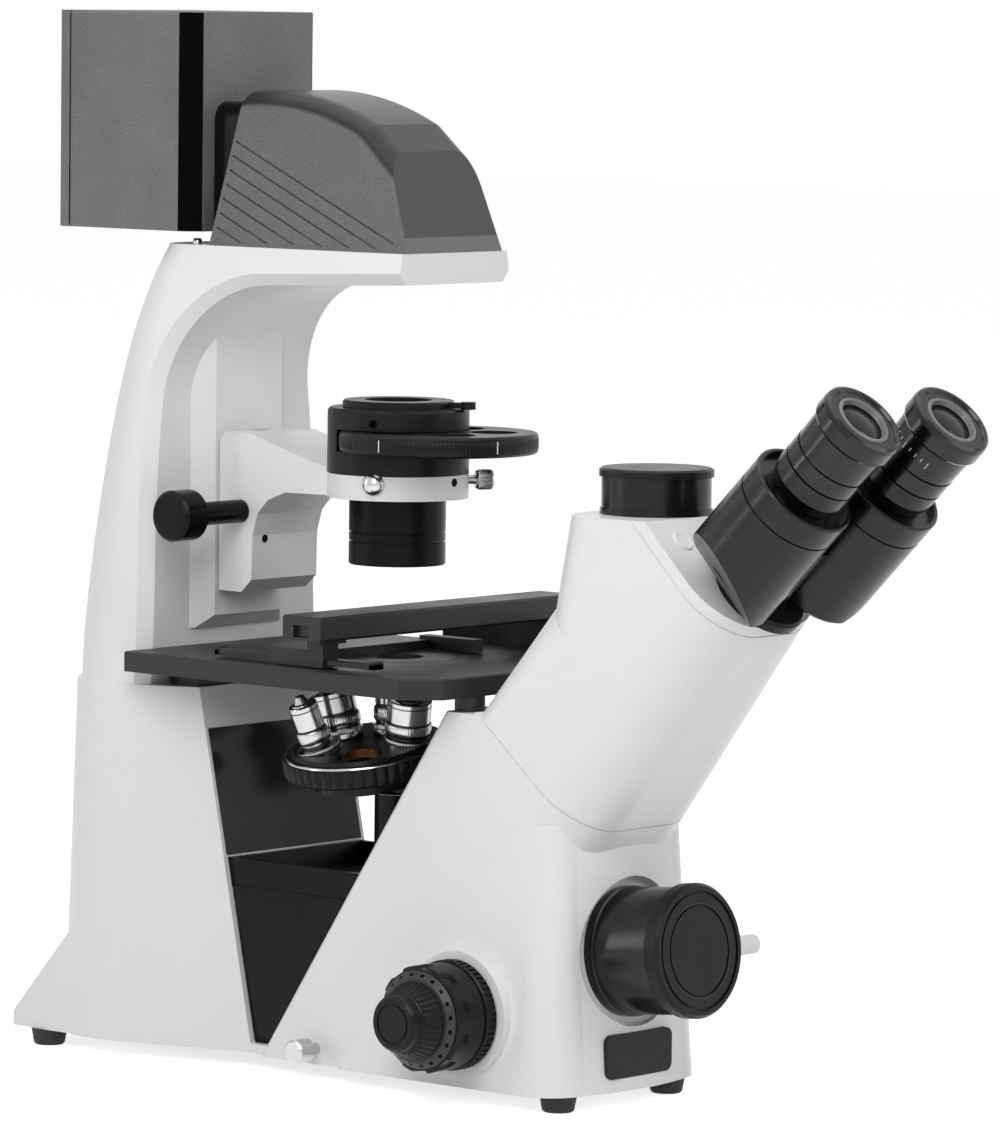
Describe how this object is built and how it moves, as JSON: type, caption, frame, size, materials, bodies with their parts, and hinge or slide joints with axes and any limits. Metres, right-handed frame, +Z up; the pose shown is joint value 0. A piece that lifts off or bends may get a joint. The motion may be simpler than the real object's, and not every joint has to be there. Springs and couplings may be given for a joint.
{
  "type": "inverted microscope",
  "caption": "Inverted microscope with a white stand, overhead lamp and condenser, fixed stage over a tilted nosepiece, coaxial focus knobs and an inclined trinocular head.",
  "frame": {"origin": "middle of the bounding box at the bench under the feet", "axes": "+X to the user at the front, +Y to the user's right, +Z up"},
  "size_m": [0.572, 0.234, 0.566],
  "materials": {
    "white_paint": "fine satin enamel on cast aluminium",
    "black_paint": "satin black on aluminium",
    "black_plastic": "fine-grained",
    "rubber": "matt",
    "chrome": "bright",
    "steel": "ground",
    "glass": "clear",
    "mirror": "silvered"
  },
  "bodies": {
    "stand": {"base_casting": "white_paint", "base_plate": "black_paint", "rubber_feet": "rubber", "v_tray": "black_plastic", "light_tube": "black_paint", "tube_lens": "glass", "power_inlet": "black_plastic", "label_plate": "black_plastic", "illumination_pillar": "white_paint", "field_lens": "glass", "hood": "black_plastic", "hood_mirror": "mirror", "lamp_neck": "black_plastic", "collector_lens": "glass", "lamp_house": "black_plastic", "lamp_rear_cover": "black_plastic", "lamp_socket": "black_plastic", "lamp_bulb": "glass", "condenser_rail": "steel", "stage_plate": "black_paint", "stage_fittings": "black_paint", "focus_guide": "black_paint", "front_port_tube": "black_paint", "head_housing": "white_paint", "trinocular_tube": "black_paint", "binocular_base": "black_paint"},
    "condenser": {"condenser_carrier": "white_paint", "condenser_barrel": "black_paint", "condenser_lens": "glass", "turret_housing": "black_paint"},
    "condenser_knob": {"condenser_knob": "black_plastic"},
    "thumb_screw": {"condenser_thumb_screw": "chrome"},
    "phase_disc": {"phase_disc": "black_paint"},
    "iris": {"iris_lever": "black_paint"},
    "insert": {"stage_insert": "black_paint"},
    "cross_bar": {"stage_bar": "black_paint"},
    "holder": {"specimen_holder": "black_paint"},
    "x_knob": {"stage_x_knob": "black_plastic"},
    "y_knob": {"stage_y_knob": "black_plastic"},
    "focus_slide": {"nosepiece_bracket": "black_paint", "focus_rack": "steel"},
    "nosepiece": {"nosepiece_turret": "black_paint", "objective_active": "chrome", "objective_broad": "chrome", "objective_slim": "chrome", "objective_front": "chrome"},
    "idler": {"focus_idler": "steel"},
    "coarse": {"coarse_knobs": "black_plastic"},
    "fine": {"fine_knobs": "black_plastic"},
    "tension": {"tension_ring": "black_plastic"},
    "light_rod": {"light_path_rod": "chrome", "base_mirror": "mirror"},
    "port_rod": {"port_selector_rod": "white_paint"},
    "trino_cap": {"trinocular_cap": "black_plastic"},
    "port_cap": {"front_port_cap": "black_plastic"},
    "left_tube": {"tube_left": "black_paint"},
    "right_tube": {"tube_right": "black_paint"},
    "left_eyepiece": {"eyepiece_left": "black_plastic"},
    "right_eyepiece": {"eyepiece_right": "black_plastic"},
    "switch": {"power_switch": "black_plastic"}
  },
  "joints": [
    {"name": "condenser_focus", "type": "slide", "parent": "stand", "child": "condenser", "axis": [0, 0, 1], "range_m": [-0.017, 0.038]},
    {"name": "condenser_knob_turn", "type": "hinge", "parent": "condenser", "child": "condenser_knob", "pos_m": [-0.16542, 0, 0.297], "axis": [0, -1, 0], "range_deg": [-195.31, 435.95]},
    {"name": "thumb_screw_turn", "type": "hinge", "parent": "condenser", "child": "thumb_screw", "pos_m": [-0.05162, 0.02994, 0.318], "axis": [0.6157, 0.788, 0], "range_deg": [-180, 180]},
    {"name": "phase_turn", "type": "hinge", "parent": "condenser", "child": "phase_disc", "pos_m": [-0.04602, 0, 0.3345], "axis": [0, 0, 1], "continuous": true},
    {"name": "iris_turn", "type": "hinge", "parent": "condenser", "child": "iris", "pos_m": [-0.07502, 0, 0.357], "axis": [0, 0, 1], "range_deg": [-40, 40]},
    {"name": "insert_turn", "type": "hinge", "parent": "stand", "child": "insert", "pos_m": [-0.07502, 0, 0.223], "axis": [0, 0, 1], "continuous": true},
    {"name": "stage_x", "type": "slide", "parent": "stand", "child": "cross_bar", "axis": [1, 0, 0], "range_m": [-0.03, 0.03]},
    {"name": "holder_y", "type": "slide", "parent": "cross_bar", "child": "holder", "axis": [0, 1, 0], "range_m": [-0.004, 0.036]},
    {"name": "x_knob_turn", "type": "hinge", "parent": "cross_bar", "child": "x_knob", "pos_m": [-0.05652, 0.1035, 0.19], "axis": [0, 0, 1], "range_deg": [-215.36, 215.36]},
    {"name": "y_knob_turn", "type": "hinge", "parent": "cross_bar", "child": "y_knob", "pos_m": [-0.05652, 0.1035, 0.17], "axis": [0, 0, 1], "range_deg": [-29.15, 258.33]},
    {"name": "focus", "type": "slide", "parent": "stand", "child": "focus_slide", "axis": [0, 0, 1], "range_m": [-0.006, 0.003]},
    {"name": "nosepiece_turn", "type": "hinge", "parent": "focus_slide", "child": "nosepiece", "pos_m": [-0.07502, -0.02445, 0.1786], "axis": [0, -0.2079, 0.9781], "continuous": true},
    {"name": "idler_turn", "type": "hinge", "parent": "stand", "child": "idler", "pos_m": [-0.00702, 0.018, 0.048], "axis": [0, 1, 0], "range_deg": [-11.59, 6.04]},
    {"name": "coarse_turn", "type": "hinge", "parent": "stand", "child": "coarse", "pos_m": [0.02998, 0, 0.048], "axis": [0, -1, 0], "range_deg": [-57.8, 29.15]},
    {"name": "fine_turn", "type": "hinge", "parent": "coarse", "child": "fine", "pos_m": [0.02998, 0, 0.048], "axis": [0, -1, 0], "continuous": true},
    {"name": "tension_turn", "type": "hinge", "parent": "stand", "child": "tension", "pos_m": [0.02998, -0.067, 0.048], "axis": [0, -1, 0], "range_deg": [-40, 40]},
    {"name": "light_path_pull", "type": "slide", "parent": "stand", "child": "light_rod", "axis": [0, -1, 0], "range_m": [0, 0.012]},
    {"name": "port_rod_push", "type": "slide", "parent": "stand", "child": "port_rod", "axis": [0, -1, 0], "range_m": [0, 0.024]},
    {"name": "trinocular_cap_lift", "type": "slide", "parent": "stand", "child": "trino_cap", "axis": [0, 0, 1], "range_m": [0, 0.06]},
    {"name": "port_cap_pull", "type": "slide", "parent": "stand", "child": "port_cap", "axis": [0.9945, 0, 0.1045], "range_m": [0, 0.08]},
    {"name": "left_tube_swing", "type": "hinge", "parent": "stand", "child": "left_tube", "pos_m": [0.17322, 0, 0.27277], "axis": [0.7071, 0, 0.7071], "range_deg": [-30, 0]},
    {"name": "right_tube_swing", "type": "hinge", "parent": "stand", "child": "right_tube", "pos_m": [0.17322, 0, 0.27277], "axis": [0.7071, 0, 0.7071], "range_deg": [-0.5, 30.5]},
    {"name": "left_diopter", "type": "hinge", "parent": "left_tube", "child": "left_eyepiece", "pos_m": [0.17185, -0.03445, 0.27413], "axis": [0.7071, 0, 0.7071], "range_deg": [-120, 120]},
    {"name": "right_diopter", "type": "hinge", "parent": "right_tube", "child": "right_eyepiece", "pos_m": [0.17458, 0.03445, 0.2714], "axis": [0.7071, 0, 0.7071], "range_deg": [-120, 120]},
    {"name": "switch_rock", "type": "hinge", "parent": "stand", "child": "switch", "pos_m": [-0.25896, 0.034, 0.046], "axis": [0, 1, 0], "range_deg": [0, 10]}
  ],
  "couplings": [
    {"joint": "condenser_knob_turn", "follows": "condenser_focus", "rad_per_m": 200},
    {"joint": "x_knob_turn", "follows": "stage_x", "rad_per_m": 125},
    {"joint": "y_knob_turn", "follows": "holder_y", "rad_per_m": 125},
    {"joint": "idler_turn", "follows": "focus", "rad_per_m": 32.258},
    {"joint": "coarse_turn", "follows": "focus", "rad_per_m": 166.67},
    {"joint": "right_tube_swing", "follows": "left_tube_swing", "ratio": -1}
  ]
}
